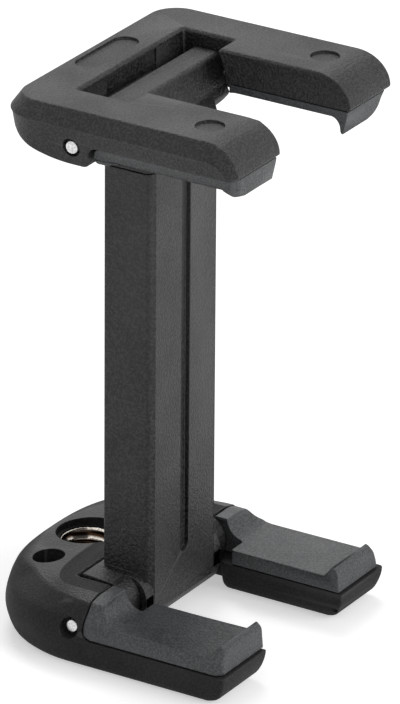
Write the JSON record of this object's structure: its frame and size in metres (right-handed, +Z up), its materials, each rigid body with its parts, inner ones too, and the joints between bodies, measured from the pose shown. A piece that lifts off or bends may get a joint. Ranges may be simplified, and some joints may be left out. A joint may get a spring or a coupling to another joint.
{
  "type": "tripod phone mount adapter",
  "caption": "Folding sprung phone clamp with a threaded tripod bush: two padded jaws hinged on a telescopic column.",
  "frame": {"origin": "centre of the part's box, on the underside of its base", "axes": "+Z up the column, X across the jaws, the arms point along -Y"},
  "size_m": [0.034, 0.0342, 0.0651],
  "materials": {
    "base_plastic": "fine moulded grain",
    "jaw_plastic": "fine moulded grain",
    "grip_rubber": "matt",
    "bush_nickel": "satin nickel plate",
    "pin_steel": "turned ends",
    "spring_steel": "bright",
    "acetal": "smooth"
  },
  "bodies": {
    "bottom_jaw": {"bottom_jaw_body": "base_plastic", "bottom_pad_left": "grip_rubber", "bottom_pad_right": "grip_rubber", "thread_insert": "bush_nickel", "bottom_hinge_pin": "pin_steel", "lower_washer_left": "acetal", "lower_washer_right": "acetal"},
    "sleeve": {"column_sleeve": "jaw_plastic", "sleeve_mouth_guide": "acetal", "spring_bar_lower": "spring_steel", "spring_left": "spring_steel", "spring_right": "spring_steel"},
    "slider": {"slider_head": "jaw_plastic", "slider_rail": "spring_steel", "rail_foot": "acetal", "spring_bar_upper": "spring_steel"},
    "top_jaw": {"top_jaw_shell": "jaw_plastic", "top_pad_left": "grip_rubber", "top_pad_right": "grip_rubber", "top_hinge_pin": "pin_steel", "upper_washer_left": "acetal", "upper_washer_right": "acetal"}
  },
  "joints": [
    {"name": "bottom_fold", "type": "hinge", "parent": "bottom_jaw", "child": "sleeve", "pos_m": [0, 0.00332, 0.00445], "axis": [1, 0, 0], "range_deg": [0, 90]},
    {"name": "grip_slide", "type": "slide", "parent": "sleeve", "child": "slider", "axis": [0, 0, 1], "range_m": [0, 0.035], "stiffness_N_per_m": 300, "springref_m": -0.02, "deforming": ["spring_left", "spring_right"]},
    {"name": "top_fold", "type": "hinge", "parent": "slider", "child": "top_jaw", "pos_m": [0, 0.00332, 0.0609], "axis": [1, 0, 0], "range_deg": [0, 90]}
  ]
}
